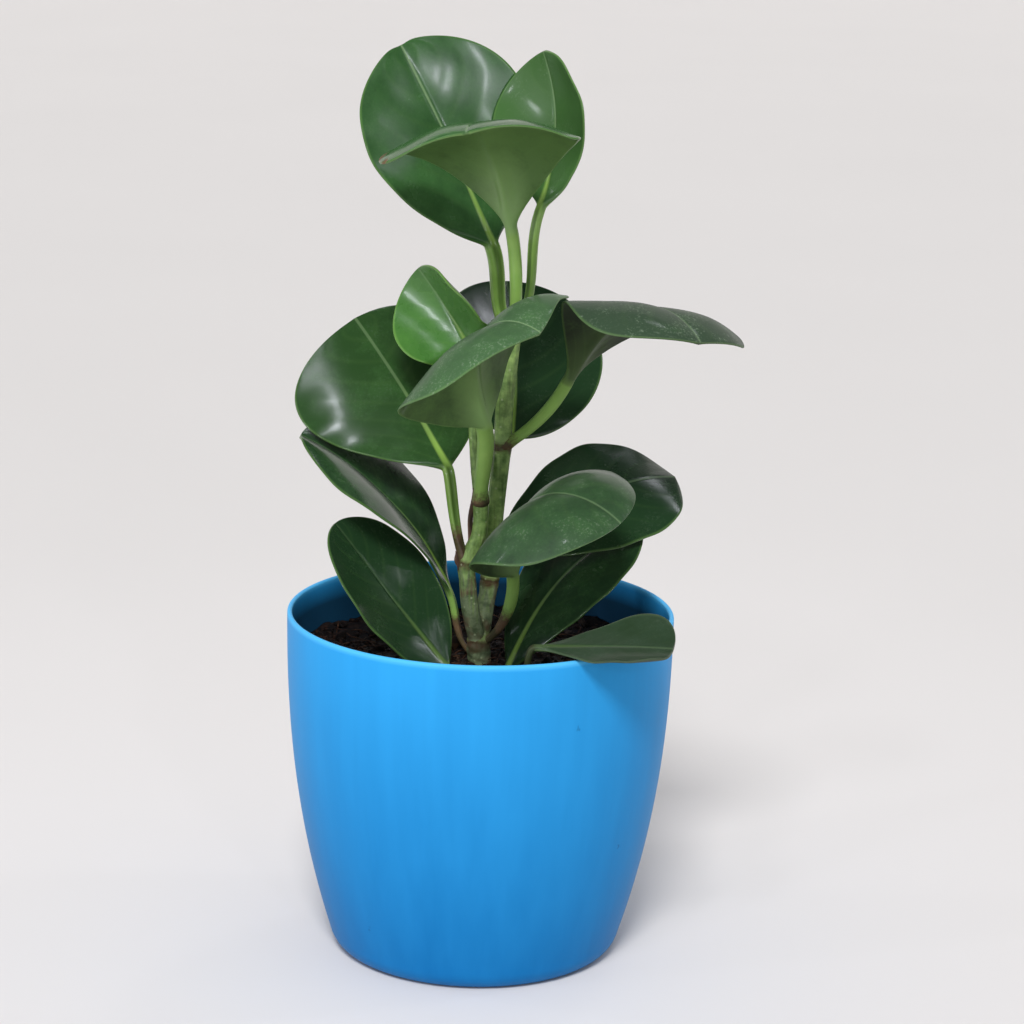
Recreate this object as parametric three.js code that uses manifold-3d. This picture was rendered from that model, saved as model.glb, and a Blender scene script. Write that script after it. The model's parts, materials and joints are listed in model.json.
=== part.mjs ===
// A young potted peperomia: one forked, fleshy stem with thick round leaves, in soil in a plastic pot.
// Millimetres, +Z up. The origin is the centre of the pot's underside, and -Y is the front.
import * as THREE from 'three';
import { mergeVertices } from 'three/addons/utils/BufferGeometryUtils.js';
import Module from 'manifold-3d';

const wasm = await Module();
wasm.setup();

// ---- driving dimensions ----

const POT_HEIGHT = 126.5;
const RIM_RADIUS = 70; // outside, at the top
const HEEL_RADIUS = 54; // outside, where the side turns under
const HEEL_HEIGHT = 8;
const BASE_RADIUS = 46; // the flat underside
const HEEL_TURN = 1.8; // how far the heel's turn is drawn in
const SIDE_BULGE = 2.3; // power of the side's curve: steep at the rim, drawn in at the heel
const WALL = 1.8;
const FLOOR = 2.6;
const POT_SIDES = 48;

const SOIL_BELOW_RIM = 17.5;
const SOIL_LUMP = 0.9; // height of the soil's unevenness
const SOIL_SIDES = 36;

const GAP = 0.3; // clearance between pieces that touch

const STEM_SIDES = 12;
const STEM_ROOT_Z = 84; // lower end of what stands in the soil
const TRUNK_RADIUS = 4.2; // below the fork
const BRANCH_RADIUS = 3.2; // above it
const TIP_RADIUS = 2.1;
const NODE_SWELL = 0.75; // how far a leaf joint stands out of the stem
const NODE_LENGTH = 3; // half-length of that swelling

const BLADE_THICK = 1.4; // beside the midrib
const EDGE_THICK = 0.8; // at the margin
const BLADE_STEPS = 12; // along a blade
const HALF_STEPS = 3; // across half a blade
const PETIOLE_STEPS = 5;
const PETIOLE_RADIUS = 2.1;

const DEG = Math.PI / 180;

// ---- materials ----

function finish(color, roughness) {
  return new THREE.MeshStandardMaterial({ color, roughness, metalness: 0 });
}

const PLASTIC_BLUE = () => finish('#2f8fd6', 0.42);
const SOIL_BROWN = () => finish('#241a16', 0.95);
const STEM_OLIVE = () => finish('#6d7a3f', 0.6);
const LEAF_GREEN = () => finish('#2c5a2c', 0.35);
const YOUNG_GREEN = () => finish('#4f8a34', 0.35);
const OLD_GREEN = () => finish('#44603c', 0.55);

// ---- solids from rings ----

// Joins closed rings of points, one after the other, and closes both ends with a fan.
// From ring point `mirror` on, the cells are split along their other diagonal, so that the two
// faces of a thin blade are split alike.
function loft(rings, mirror = Infinity) {
  const count = rings[0].length;
  const points = rings.flat();
  const last = rings.length - 1;
  const index = [];
  for (let i = 0; i < last; i += 1) {
    for (let j = 0; j < count; j += 1) {
      const a = i * count + j;
      const b = i * count + ((j + 1) % count);
      const c = b + count;
      const d = a + count;
      if (j < mirror) index.push(a, b, c, a, c, d);
      else index.push(a, b, d, b, c, d);
    }
  }
  const middle = (ring) => ring.reduce((sum, p) => sum.add(p), new THREE.Vector3()).divideScalar(count);
  const start = points.push(middle(rings[0])) - 1;
  const end = points.push(middle(rings[last])) - 1;
  for (let j = 0; j < count; j += 1) {
    const next = (j + 1) % count;
    index.push(start, next, j);
    index.push(end, last * count + j, last * count + next);
  }
  const geometry = new THREE.BufferGeometry().setFromPoints(points);
  geometry.setIndex(index);
  return geometry;
}

// A closed geometry as a solid: shared vertices merged, and faces that have shrunk to a line left out.
function solidOf(geometry) {
  const plain = geometry.clone();
  plain.deleteAttribute('normal');
  plain.deleteAttribute('uv');
  const merged = mergeVertices(plain, 1e-4);
  const corners = merged.index.array;
  const triVerts = [];
  for (let i = 0; i < corners.length; i += 3) {
    const [a, b, c] = [corners[i], corners[i + 1], corners[i + 2]];
    if (a !== b && b !== c && c !== a) triVerts.push(a, b, c);
  }
  const vertProperties = new Float32Array(merged.attributes.position.array);
  const mesh = new wasm.Mesh({ numProp: 3, vertProperties, triVerts: new Uint32Array(triVerts) });
  return new wasm.Manifold(mesh);
}

function geometryOf(solid) {
  const mesh = solid.getMesh();
  const geometry = new THREE.BufferGeometry();
  geometry.setAttribute('position', new THREE.BufferAttribute(new Float32Array(mesh.vertProperties), 3));
  geometry.setIndex(new THREE.BufferAttribute(new Uint32Array(mesh.triVerts), 1));
  return geometry;
}

const potted = new THREE.Group();

function place(name, geometry, material) {
  const mesh = new THREE.Mesh(geometry, material);
  mesh.name = name;
  potted.add(mesh);
}

// ---- pot ----

// Outer radius of the side at a height above the heel.
function sideRadius(z) {
  const down = (POT_HEIGHT - z) / (POT_HEIGHT - HEEL_HEIGHT);
  return RIM_RADIUS - (RIM_RADIUS - HEEL_RADIUS) * Math.max(down, 0) ** SIDE_BULGE;
}

// Points from the heel down to the flat underside, moved inwards by the wall for the inside.
function heelCurve(inset, lift, steps) {
  const top = new THREE.Vector2(sideRadius(HEEL_HEIGHT) - inset, Math.max(HEEL_HEIGHT, lift + 1));
  const corner = new THREE.Vector2(HEEL_RADIUS - HEEL_TURN - inset, lift);
  const foot = new THREE.Vector2(BASE_RADIUS - inset, lift);
  return new THREE.QuadraticBezierCurve(top, corner, foot).getPoints(steps);
}

function sideCurve(inset, top, steps) {
  const points = [];
  for (let i = 0; i < steps; i += 1) {
    const z = top - ((top - HEEL_HEIGHT) * i) / steps;
    points.push(new THREE.Vector2(sideRadius(z) - inset, z));
  }
  return points;
}

function potGeometry() {
  const lip = WALL / 2;
  const shoulder = POT_HEIGHT - lip;
  const rim = [];
  for (let angle = 150; angle > 0; angle -= 30) {
    const out = sideRadius(shoulder) - lip + lip * Math.cos(angle * DEG);
    rim.push(new THREE.Vector2(out, shoulder + lip * Math.sin(angle * DEG)));
  }
  const outside = [...sideCurve(0, shoulder, 11), ...heelCurve(0, 0, 4)];
  const inside = [...sideCurve(WALL, shoulder, 8), ...heelCurve(WALL, FLOOR, 3)];
  const axisDown = [new THREE.Vector2(0, 0), new THREE.Vector2(0, FLOOR)];
  const profile = [...rim, ...outside, ...axisDown, ...inside.reverse()];
  profile.push(profile[0].clone());
  return new THREE.LatheGeometry(profile.reverse(), POT_SIDES).rotateX(90 * DEG);
}

place('pot', potGeometry(), PLASTIC_BLUE());

// ---- stem ----

// Leaf joints of the stem, from the soil up.
const FORK = new THREE.Vector3(-0.5, -4, 115);
const LEFT_JOINT = new THREE.Vector3(-5.4, -8, 146);
const CENTRE_JOINT = new THREE.Vector3(-1, -8, 169);
const LEFT_TIP = new THREE.Vector3(-4, -4, 207);
const BACK_JOINT = new THREE.Vector3(3, 2, 137);
const RIGHT_JOINT = new THREE.Vector3(6.5, 4, 187);
const CROWN = new THREE.Vector3(9, 4, 228);

const at = (x, y, z) => new THREE.Vector3(x, y, z);

// A radius that changes smoothly from one height to another.
function taper(z, low, lowRadius, high, highRadius) {
  return THREE.MathUtils.lerp(lowRadius, highRadius, THREE.MathUtils.smoothstep(z, low, high));
}

const trunk = {
  curve: new THREE.CatmullRomCurve3([
    at(1, -4, STEM_ROOT_Z), at(0.5, -4, 104), FORK, at(1.5, 0, 127), BACK_JOINT, at(4.5, 4, 163), RIGHT_JOINT,
    at(6.8, 4, 200), at(8.2, 4, 218), CROWN, at(9.3, 4, 231),
  ]),
  steps: 34,
  joints: [FORK, BACK_JOINT, RIGHT_JOINT, CROWN],
  radius: (z) => taper(z, 110, TRUNK_RADIUS, 132, BRANCH_RADIUS),
};
const sideBranch = {
  curve: new THREE.CatmullRomCurve3([
    FORK, at(-3.6, -7, 128), at(-5, -8, 140), LEFT_JOINT, at(-1.3, -8, 157), CENTRE_JOINT,
    at(-2.4, -5.5, 180), at(-3.6, -4, 194), LEFT_TIP,
  ]),
  steps: 30,
  joints: [LEFT_JOINT, CENTRE_JOINT, LEFT_TIP],
  radius: (z) => taper(z, LEFT_JOINT.z - 20, BRANCH_RADIUS, LEFT_TIP.z - 8, TIP_RADIUS),
};

// A stem's rings, `extra` larger all round.
function stemRings(stem, extra) {
  const rings = [];
  let side = at(1, 0, 0);
  for (let i = 0; i <= stem.steps; i += 1) {
    const centre = stem.curve.getPoint(i / stem.steps);
    const along = stem.curve.getTangent(i / stem.steps);
    side = side.clone().addScaledVector(along, -side.dot(along)).normalize();
    const across = along.clone().cross(side);
    const swell = stem.joints.reduce(
      (sum, joint) => sum + NODE_SWELL * Math.exp(-((centre.distanceTo(joint) / NODE_LENGTH) ** 2)), 0);
    const r = stem.radius(centre.z) + swell + extra;
    const ring = [];
    for (let j = 0; j < STEM_SIDES; j += 1) {
      const angle = (j / STEM_SIDES) * 2 * Math.PI;
      const [out, round] = [r * Math.cos(angle), r * Math.sin(angle)];
      ring.push(centre.clone().addScaledVector(side, out).addScaledVector(across, round));
    }
    rings.push(ring);
  }
  return rings;
}

function stemSolid(extra) {
  return solidOf(loft(stemRings(trunk, extra))).add(solidOf(loft(stemRings(sideBranch, extra))));
}

place('stem', geometryOf(stemSolid(0)), STEM_OLIVE());
const stemRoom = stemSolid(GAP);

// ---- leaves ----

// A leaf is a petiole that grows into the midrib of a blade. Angles are in degrees. At the blade's base the
// midrib heads towards `heading` (0 is +X, 90 is +Y), climbs at `rise` and is turned about itself by `roll`.
// Along the blade it bends back by `droop` (more of it towards the tip where `curl` is positive), sideways by
// `side`, and twists by `twist`. Each half rises by `fold` from the midrib and curls up by `cup` at the
// base, changing to `cupTip` at the tip. `base` and `tip` are the powers of the blade's outline.
const LEAF_DEFAULTS = {
  droop: 0, curl: 0, side: 0, twist: 0, fold: 4, cup: 5, cupTip: 0, base: 1.05, tip: 0.5, reach: 0.4,
  ease: 0.35,
};

// Half the blade's width at a share u of its length.
function halfWidth(leaf, u) {
  const widest = leaf.base / (leaf.base + leaf.tip);
  const shape = (v) => v ** leaf.base * (1 - v) ** leaf.tip;
  return (leaf.width / 2) * (shape(u) / shape(widest));
}

// The midrib's point and directions (along, side, up) at each share in `shares`.
function bladeFrames(leaf, shares) {
  const [heading, rise, roll] = [leaf.heading * DEG, leaf.rise * DEG, leaf.roll * DEG];
  const along = at(Math.cos(rise) * Math.cos(heading), Math.cos(rise) * Math.sin(heading), Math.sin(rise));
  const side = at(-Math.sin(heading), Math.cos(heading), 0).applyAxisAngle(along, roll);
  const up = along.clone().cross(side);
  const point = at(...leaf.start);
  const frames = [{ point: point.clone(), along: along.clone(), side: side.clone(), up: up.clone() }];
  const SUBSTEPS = 4;
  for (let i = 1; i < shares.length; i += 1) {
    const du = (shares[i] - shares[i - 1]) / SUBSTEPS;
    for (let k = 0; k < SUBSTEPS; k += 1) {
      const u = shares[i - 1] + (k + 0.5) * du;
      const bend = leaf.droop * DEG * du * Math.max(0, 1 + 1.6 * leaf.curl * (2 * u - 1));
      for (const half of [0, 1]) {
        along.applyAxisAngle(side, bend / 2);
        along.applyAxisAngle(up.crossVectors(along, side), (leaf.side * DEG * du) / 2);
        side.crossVectors(up, along).applyAxisAngle(along, (leaf.twist * DEG * du) / 2);
        if (half === 0) point.addScaledVector(along, leaf.length * du);
      }
      up.crossVectors(along, side);
    }
    frames.push({ point: point.clone(), along: along.clone(), side: side.clone(), up: up.clone() });
  }
  return frames;
}

// The petiole's frames, from its foot to just before the blade, turning as little as it can.
function petioleFrames(leaf, first) {
  const foot = at(...leaf.foot);
  const span = foot.distanceTo(first.point);
  const leave = at(...leaf.leaves).normalize();
  const curve = new THREE.CubicBezierCurve3(
    foot, foot.clone().addScaledVector(leave, leaf.reach * span),
    first.point.clone().addScaledVector(first.along, -leaf.ease * span), first.point);
  const frames = [];
  let side = first.side;
  for (let i = PETIOLE_STEPS - 1; i >= 0; i -= 1) {
    const along = curve.getTangent(i / PETIOLE_STEPS);
    side = side.clone().addScaledVector(along, -side.dot(along)).normalize();
    frames.unshift({ point: curve.getPoint(i / PETIOLE_STEPS), along, side, up: along.clone().cross(side) });
  }
  return frames;
}

// One closed ring round the leaf: over the upper face from +side to -side, and back under it.
// `grown` is 0 on the round petiole and 1 on the flat blade, and `u` is the share of the blade's length.
function leafRing(leaf, frame, u, grown, extra) {
  const stalk = (leaf.stalk ?? PETIOLE_RADIUS) * (1 - u) ** 1.5;
  const half = Math.max(Math.hypot(stalk, halfWidth(leaf, u)), EDGE_THICK) + extra;
  const fold = leaf.fold * DEG * grown;
  const bow = (THREE.MathUtils.lerp(leaf.cup, leaf.cupTip, u) * DEG * grown) / (leaf.width / 2);
  const spot = (share, face) => {
    const onRound = Math.sin((Math.abs(share) * Math.PI) / 2);
    const reach = half * THREE.MathUtils.lerp(onRound, Math.abs(share), grown);
    const turn = fold + bow * reach;
    const flat = Math.abs(bow) < 1e-6;
    const out = flat ? reach * Math.cos(fold) : (Math.sin(turn) - Math.sin(fold)) / bow;
    const rise = flat ? reach * Math.sin(fold) : (Math.cos(fold) - Math.cos(turn)) / bow;
    const round = Math.cos((share * Math.PI) / 2);
    const blade = THREE.MathUtils.lerp(EDGE_THICK, BLADE_THICK, round) / 2;
    const keel = face < 0 ? 0.8 * stalk * Math.exp(-((reach / PETIOLE_RADIUS) ** 2)) : 0;
    const thick = Math.max(THREE.MathUtils.lerp(stalk * round, blade + keel, grown), EDGE_THICK / 2) + extra;
    return frame.point.clone()
      .addScaledVector(frame.side, Math.sign(share) * out - face * thick * Math.sign(share) * Math.sin(turn))
      .addScaledVector(frame.up, rise + face * thick * Math.cos(turn));
  };
  const ring = [];
  for (let j = HALF_STEPS; j >= -HALF_STEPS; j -= 1) ring.push(spot(j / HALF_STEPS, 1));
  for (let j = -HALF_STEPS; j <= HALF_STEPS; j += 1) ring.push(spot(j / HALF_STEPS, -1));
  return ring;
}

function leafSolid(spec, extra) {
  const leaf = { ...LEAF_DEFAULTS, ...spec };
  const shares = [];
  for (let i = 0; i <= BLADE_STEPS; i += 1) shares.push((1 - Math.cos((Math.PI * i) / BLADE_STEPS)) / 2);
  const blade = bladeFrames(leaf, shares);
  const stalk = petioleFrames(leaf, blade[0]);
  const rings = stalk.map((frame) => leafRing(leaf, frame, 0, 0, extra));
  blade.forEach((frame, i) => {
    const u = Math.min(shares[i], 0.995);
    rings.push(leafRing(leaf, frame, u, THREE.MathUtils.smoothstep(u, -0.02, 0.2), extra));
  });
  return solidOf(loft(rings, 2 * HALF_STEPS + 1));
}

const leaves = [
  // The crown: three leaves round the top joint.
  {
    name: 'leaf_crown_back', foot: [9, 4, 227], leaves: [-0.7, 0.6, 0.7], start: [1, 8, 259],
    heading: 161, rise: 66, roll: -46, length: 78, width: 66, droop: 3, side: 6, twist: -2,
    fold: 9, cup: 9, cupTip: 9, base: 0.87, tip: 0.62, stalk: 2.8,
  },
  {
    name: 'leaf_crown_right', foot: [10.1, 4.6, 227], leaves: [0.5, 0.25, 0.95], start: [18, -7, 275],
    heading: 53, rise: 58, roll: -2, length: 56, width: 51, droop: -45, side: 8, twist: -22,
    fold: 10, cup: 21, cupTip: 20, base: 0.97, tip: 0.64, stalk: 1.8,
  },
  {
    name: 'leaf_crown_front', foot: [9, 4, 227], leaves: [0.1, -1, 0.7], start: [8, -5, 266],
    heading: -136, rise: 75, roll: 20, length: 73, width: 73, droop: 97, curl: 0.37, side: 9, twist: 20,
    fold: 6, cup: 11, cupTip: -56, base: 1.3, tip: 0.48, stalk: 2.3,
  },
  // Two leaves at the joint below it.
  {
    name: 'leaf_middle_back', foot: [6, 6, 187], leaves: [0.2, 1, 0.3], start: [9, 13, 188],
    heading: 77, rise: 54, roll: 33, length: 63, width: 66, droop: 10, side: 17, twist: 2,
    fold: 10, cup: 4, cupTip: 6, base: 0.63, tip: 0.55,
  },
  {
    name: 'leaf_middle_right', foot: [7, 3, 187], leaves: [1, -0.3, 0.7], start: [29.4, 12, 209.2],
    heading: -39, rise: 61, roll: -26, length: 88, width: 71, droop: 99, curl: 0.26, side: 4, twist: 6,
    fold: 7, cup: 26, cupTip: -58, base: 1.4, tip: 0.52, stalk: 2.3,
  },
  // The left branch: two leaves at its joints and the youngest at its tip.
  {
    name: 'leaf_branch_left', foot: [-5.8, -8, 146], leaves: [-0.4, -0.1, 1], start: [-13, -8, 181],
    heading: 129, rise: 45, roll: -21, length: 66, width: 74, droop: -9, side: 13, twist: 3,
    fold: -6, cup: -12, cupTip: -25, base: 0.88, tip: 0.44, ease: 0.12,
  },
  {
    name: 'leaf_branch_front', foot: [-1, -8, 169], leaves: [0, -0.5, 1], start: [-0.5, -16, 199.3],
    heading: -113, rise: 57, roll: 65, length: 74, width: 80, droop: 111, curl: 0.78, side: 18, twist: 5,
    fold: 15, cup: 9, cupTip: -85, base: 0.95, tip: 0.71, stalk: 3,
  },
  {
    name: 'leaf_branch_young', foot: [-4, -4, 206], leaves: [0, 0, 1], start: [-4, -8, 222],
    heading: 144, rise: 53, roll: -79, length: 37, width: 45, droop: -16, side: -1, twist: -25,
    fold: 9, cup: 62, cupTip: 50, base: 0.52, tip: 0.57, stalk: 1.7, color: YOUNG_GREEN,
  },
  // Low on the stem.
  {
    name: 'leaf_low_right', foot: [3, 2, 137], leaves: [1, 0.3, 0.5], start: [4, 5, 147],
    heading: 9, rise: 32, roll: 42, length: 76, width: 53, droop: 49, curl: 0.65, side: 0, twist: -13,
    fold: -5, cup: -1, cupTip: 4, base: 1, tip: 0.52,
  },
  {
    name: 'leaf_low_front', foot: [0, -4, 115], leaves: [1, -0.8, 0.7], start: [11, -13, 144],
    heading: -106, rise: 62, roll: 66, length: 84, width: 68, droop: 125, curl: 0.39, side: 8, twist: -2,
    fold: 9, cup: -3, cupTip: -83, base: 0.76, tip: 0.48, stalk: 2.3,
  },
  {
    name: 'leaf_low_left', foot: [-2, -3, 110], leaves: [-1, 0.1, 0.7], start: [-11.3, 1, 132.1],
    heading: 178, rise: 67, roll: -15, length: 81, width: 48, droop: 39, side: 13, twist: 3,
    fold: 19, cup: 5, cupTip: -42, base: 1.15, tip: 0.58, stalk: 1.5,
  },
  // Out of the soil, beside the stem.
  {
    name: 'leaf_soil_left', foot: [-11, -18, 88], leaves: [0, 0, 1], start: [-12.2, -22, 111],
    heading: 166, rise: 50, roll: -32, length: 65, width: 43, droop: -2, side: 2, twist: 14,
    fold: 3, cup: 18, cupTip: 18, base: 0.67, tip: 0.49, stalk: 1.9,
  },
  {
    name: 'leaf_soil_right', foot: [10, -10, 88], leaves: [0, 0, 1], start: [11, -12, 108],
    heading: 34, rise: 69, roll: 13, length: 73, width: 42, droop: 51, curl: 0.17, side: -22, twist: -10,
    fold: -1, cup: 1, cupTip: -7, base: 0.93, tip: 0.58, stalk: 2.2,
  },
  // The oldest, over the rim at the front right.
  {
    name: 'leaf_over_rim', foot: [17, -50, 90], leaves: [0, 0, 1], start: [19, -55, 129],
    heading: 4, rise: 1, roll: 12, length: 48, width: 32, droop: -8, side: -21, twist: 6,
    fold: -3, cup: -1, cupTip: 56, base: 1.23, tip: 0.4, ease: 0.12, stalk: 1.3, color: OLD_GREEN,
  },
];

for (const leaf of leaves) {
  const solid = leafSolid(leaf, 0).subtract(stemRoom);
  place(leaf.name, geometryOf(solid), (leaf.color ?? LEAF_GREEN)());
}

// ---- soil ----

// Fills the pot to just below the rim, a little uneven on top, with a plain hole for each stalk.
function soilGeometry() {
  const top = POT_HEIGHT - SOIL_BELOW_RIM;
  const room = WALL + GAP;
  const wall = [...sideCurve(room, top, 5), ...heelCurve(room, FLOOR + GAP, 3)];
  const crust = [];
  for (const share of [0, 0.2, 0.4, 0.6, 0.8, 0.93]) {
    crust.push(new THREE.Vector2(share * (sideRadius(top) - room), top));
  }
  const profile = [...crust, ...wall, new THREE.Vector2(0, FLOOR + GAP)];
  const geometry = new THREE.LatheGeometry(profile.reverse(), SOIL_SIDES).rotateX(90 * DEG);
  const points = geometry.attributes.position;
  for (let i = 0; i < points.count; i += 1) {
    const [x, y, z] = [points.getX(i), points.getY(i), points.getZ(i)];
    const lump = Math.sin(x / 7 + 1) * Math.cos(y / 9) + 0.6 * Math.sin((x + 2 * y) / 11);
    if (z > top - 0.01) points.setZ(i, z + SOIL_LUMP * lump);
  }
  return geometry;
}

let soil = solidOf(soilGeometry()).subtract(stemRoom);
for (const leaf of leaves) {
  const rooted = leaf.foot[2] < POT_HEIGHT - SOIL_BELOW_RIM;
  if (rooted) soil = soil.subtract(leafSolid(leaf, GAP));
}
place('soil', geometryOf(soil), SOIL_BROWN());

export default potted;
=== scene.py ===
# A potted peperomia as it stands on a shelf: the finish of the pot, soil, stem and leaves.
# Sizes are in millimetres, and each mesh is turned to metres as it is made.
import json
import math

import bpy
import numpy as np
from mathutils import Matrix, Vector, noise

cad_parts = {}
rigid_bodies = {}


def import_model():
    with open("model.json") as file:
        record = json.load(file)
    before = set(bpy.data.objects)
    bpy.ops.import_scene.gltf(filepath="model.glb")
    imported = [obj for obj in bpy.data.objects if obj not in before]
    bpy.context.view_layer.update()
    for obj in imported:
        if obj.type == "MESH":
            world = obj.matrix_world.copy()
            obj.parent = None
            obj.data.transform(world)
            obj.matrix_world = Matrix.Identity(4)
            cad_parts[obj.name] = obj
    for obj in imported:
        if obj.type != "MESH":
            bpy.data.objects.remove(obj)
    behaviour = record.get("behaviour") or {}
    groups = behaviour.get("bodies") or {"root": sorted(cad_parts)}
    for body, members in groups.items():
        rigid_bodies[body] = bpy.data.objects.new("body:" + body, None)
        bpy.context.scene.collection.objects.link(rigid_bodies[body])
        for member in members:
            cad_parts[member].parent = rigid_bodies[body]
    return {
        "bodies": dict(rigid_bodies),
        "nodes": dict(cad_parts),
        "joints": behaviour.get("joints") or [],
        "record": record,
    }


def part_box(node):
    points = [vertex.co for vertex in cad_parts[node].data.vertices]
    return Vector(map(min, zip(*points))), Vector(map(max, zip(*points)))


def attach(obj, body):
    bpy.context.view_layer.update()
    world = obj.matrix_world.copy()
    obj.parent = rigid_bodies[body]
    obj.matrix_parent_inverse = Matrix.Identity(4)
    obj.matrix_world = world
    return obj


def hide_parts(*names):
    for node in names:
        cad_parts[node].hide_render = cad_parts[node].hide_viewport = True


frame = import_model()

SCENE = bpy.context.scene
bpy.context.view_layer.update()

# ---- pot ----
# A tapered cover pot, injection moulded in one piece from polypropylene. The wall draws in towards a flat
# foot, and the rim is a plain rounded lip. The foot has a shallow ring round the mark of the mould's gate.

MM = 0.001
POT_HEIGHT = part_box("pot")[1].z / MM
RIM_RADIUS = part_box("pot")[1].x / MM
HEEL_RADIUS = 54
HEEL_HEIGHT = 8
BASE_RADIUS = 46
HEEL_TURN = 1.8
SIDE_BULGE = 2.3
WALL = 1.8
FLOOR = 2.6
GATE_RADIUS = 4
POT_SIDES = 192


def side_radius(z):
    """Outer radius of the pot's side at a height above the heel."""
    down = max((POT_HEIGHT - z) / (POT_HEIGHT - HEEL_HEIGHT), 0)
    return RIM_RADIUS - (RIM_RADIUS - HEEL_RADIUS) * down ** SIDE_BULGE


def heel_curve(inset, lift, steps):
    """The heel, from the foot up to the side, moved inwards by the wall for the inside."""
    ends = [
        np.array([BASE_RADIUS - inset, lift]),
        np.array([HEEL_RADIUS - HEEL_TURN - inset, lift]),
        np.array([side_radius(HEEL_HEIGHT) - inset, max(HEEL_HEIGHT, lift + 1)]),
    ]
    shares = np.linspace(0, 1, steps)
    return [ends[0] * (1 - t) ** 2 + ends[1] * 2 * t * (1 - t) + ends[2] * t * t for t in shares]


def side_curve(inset, top, steps):
    """The side, from just above the heel up to a height."""
    heights = HEEL_HEIGHT + (top - HEEL_HEIGHT) * np.arange(1, steps + 1) / steps
    return [np.array([side_radius(z) - inset, z]) for z in heights]


def lathe(profile, sides):
    """Points and faces of a profile of (radius, height) turned about the axis, from the axis to the axis."""
    angles = np.arange(sides) * 2 * math.pi / sides
    points, faces, rows = [], [], []
    for radius, height in profile:
        if radius < 1e-6:
            rows.append([len(points)] * sides)
            points.append((0, 0, height))
            continue
        rows.append(list(range(len(points), len(points) + sides)))
        points += [(radius * math.cos(a), radius * math.sin(a), height) for a in angles]
    for low, high in zip(rows, rows[1:]):
        for j in range(sides):
            k = (j + 1) % sides
            corners = [low[j], low[k], high[k], high[j]]
            faces.append(list(dict.fromkeys(corners)))
    return points, faces


def paint(code):
    """An sRGB hex colour as linear light."""
    parts = [int(code[i:i + 2], 16) / 255 for i in (1, 3, 5)]
    return [p / 12.92 if p <= 0.04045 else ((p + 0.055) / 1.055) ** 2.4 for p in parts] + [1]


def add(tree, kind, *values, out=0, **settings):
    """Adds a shader node and returns an output. Values fill its inputs in order, and each setting is an
    input, by name or identifier, or else a property of the node. A socket is linked and a value is set."""
    node = tree.nodes.new("ShaderNode" + kind)
    inputs = {}
    for socket in reversed(node.inputs):
        inputs[socket.name.replace(" ", "_")] = socket
    for socket in node.inputs:
        inputs[socket.identifier.replace(" ", "_")] = socket
    for key in [key for key in settings if key not in inputs]:
        setattr(node, key, settings.pop(key))
    given = list(zip(node.inputs, values)) + [(inputs[key], value) for key, value in settings.items()]
    for socket, value in given:
        if isinstance(value, bpy.types.NodeSocket):
            tree.links.new(value, socket)
        else:
            socket.default_value = paint(value) if isinstance(value, str) else value
    for socket in node.outputs:
        if out in (socket.name, socket.identifier):
            return socket
    return node.outputs[out] if node.outputs else None


# A Mix node has these settings when it mixes colours.
COLOUR = dict(out="Result_Color", data_type="RGBA")


def blank(name):
    """A new material with an empty node tree, and the tree."""
    made = bpy.data.materials.new(name)
    made.use_nodes = True
    made.node_tree.nodes.clear()
    return made, made.node_tree


def piece(name, points, faces, material, slot, node=None):
    """A smooth mesh from points in millimetres, which can stand for a node of the frame."""
    mesh = bpy.data.meshes.new(name)
    mesh.from_pydata((np.asarray(points, float) * MM).tolist(), [], faces)
    mesh.shade_smooth()
    mesh.materials.append(material)
    made = bpy.data.objects.new(name, mesh)
    SCENE.collection.objects.link(made)
    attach(made, "root")
    if node:
        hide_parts(node)
    return made


def pot_profile():
    """From the middle of the underside, up the outside, over the lip and down to the inside's middle."""
    ring_out, ring_in, ring_deep = BASE_RADIUS - 3, BASE_RADIUS - 5, 0.6
    under = [(0, 0.3), (GATE_RADIUS - 0.4, 0.3), (GATE_RADIUS, 0), (ring_in - 0.5, 0), (ring_in, ring_deep)]
    under += [(ring_out, ring_deep), (ring_out + 0.5, 0)]
    lip = WALL / 2
    shoulder = POT_HEIGHT - lip
    middle = side_radius(shoulder) - lip
    turn = np.radians(np.arange(15, 180, 15))
    rim = [(middle + lip * math.cos(a), shoulder + lip * math.sin(a)) for a in turn]
    outside = heel_curve(0, 0, 12) + side_curve(0, shoulder, 56)
    inside = heel_curve(WALL, FLOOR, 8) + side_curve(WALL, shoulder, 40)
    return under + outside + rim + inside[::-1] + [(0, FLOOR)]


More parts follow.
